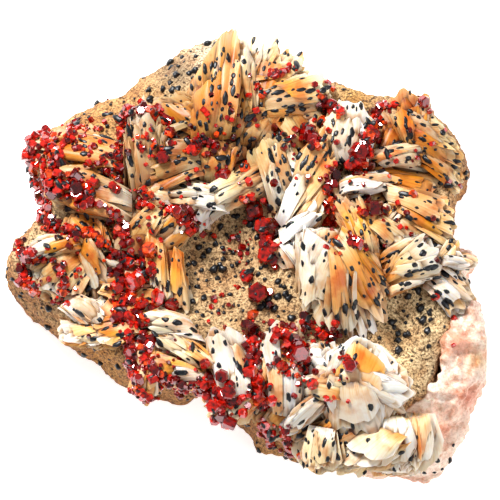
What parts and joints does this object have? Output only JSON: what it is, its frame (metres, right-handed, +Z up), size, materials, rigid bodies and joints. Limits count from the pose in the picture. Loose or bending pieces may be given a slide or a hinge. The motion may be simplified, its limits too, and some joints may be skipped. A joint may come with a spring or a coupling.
{
  "type": "vanadinite on matrix mineral specimen",
  "caption": "Hand-sized mineral specimen: red hexagonal vanadinite crystals on golden and white barite blade fans over a flat-bottomed chunk of tan rock.",
  "frame": {"origin": "centre of the bounding box, at the flat underside that the specimen rests on", "axes": "+Z up out of the crystal side, +X to the right and +Y to the back of the specimen as it lies on display"},
  "size_m": [0.0898, 0.0868, 0.0288],
  "materials": {
    "matrix": "granular, matte",
    "massive_barite": "waxy, partly translucent",
    "barite": "satin, translucent edges",
    "vanadinite": "glossy, resinous"
  },
  "bodies": {
    "root": {"barite_crust": "barite", "barite_flower": "barite", "barite_front_blades": "barite", "barite_front_gold": "barite", "barite_front_grey": "barite", "barite_pointed_pair": "barite", "barite_ridge": "barite", "barite_right_grey": "barite", "barite_right_stack": "barite", "massive_barite": "massive_barite", "matrix": "matrix", "vanadinite_back_chain": "vanadinite", "vanadinite_back_lath": "vanadinite", "vanadinite_back_middle": "vanadinite", "vanadinite_back_right": "vanadinite", "vanadinite_column": "vanadinite", "vanadinite_column_2": "vanadinite", "vanadinite_cup_rim": "vanadinite", "vanadinite_cup_rim_2": "vanadinite", "vanadinite_cup_tablet": "vanadinite", "vanadinite_front_chain": "vanadinite", "vanadinite_front_cluster": "vanadinite", "vanadinite_front_cluster_2": "vanadinite", "vanadinite_front_edge": "vanadinite", "vanadinite_front_left_large": "vanadinite", "vanadinite_front_pair": "vanadinite", "vanadinite_front_rust": "vanadinite", "vanadinite_left_fan": "vanadinite", "vanadinite_left_hollow": "vanadinite", "vanadinite_left_hollow_2": "vanadinite", "vanadinite_left_hollow_3": "vanadinite", "vanadinite_left_rim": "vanadinite", "vanadinite_left_rim_2": "vanadinite", "vanadinite_lower_left_edge": "vanadinite", "vanadinite_lower_left_middle": "vanadinite", "vanadinite_lower_left_top": "vanadinite", "vanadinite_middle_large": "vanadinite", "vanadinite_middle_tablet": "vanadinite", "vanadinite_recess_left": "vanadinite", "vanadinite_ridge_left": "vanadinite", "vanadinite_ridge_right": "vanadinite", "vanadinite_right_chain": "vanadinite", "vanadinite_right_chain_2": "vanadinite", "vanadinite_right_large": "vanadinite", "vanadinite_right_tip": "vanadinite", "vanadinite_rosette_edge": "vanadinite", "vanadinite_rosette_flat": "vanadinite", "vanadinite_rosette_middle": "vanadinite", "vanadinite_rosette_right": "vanadinite", "vanadinite_shell_foot": "vanadinite", "vanadinite_shell_foot_2": "vanadinite", "vanadinite_shell_foot_small": "vanadinite", "vanadinite_shell_gap": "vanadinite", "vanadinite_shell_right": "vanadinite", "vanadinite_white_fan_foot": "vanadinite", "vanadinite_white_fan_top": "vanadinite"}
  },
  "joints": []
}
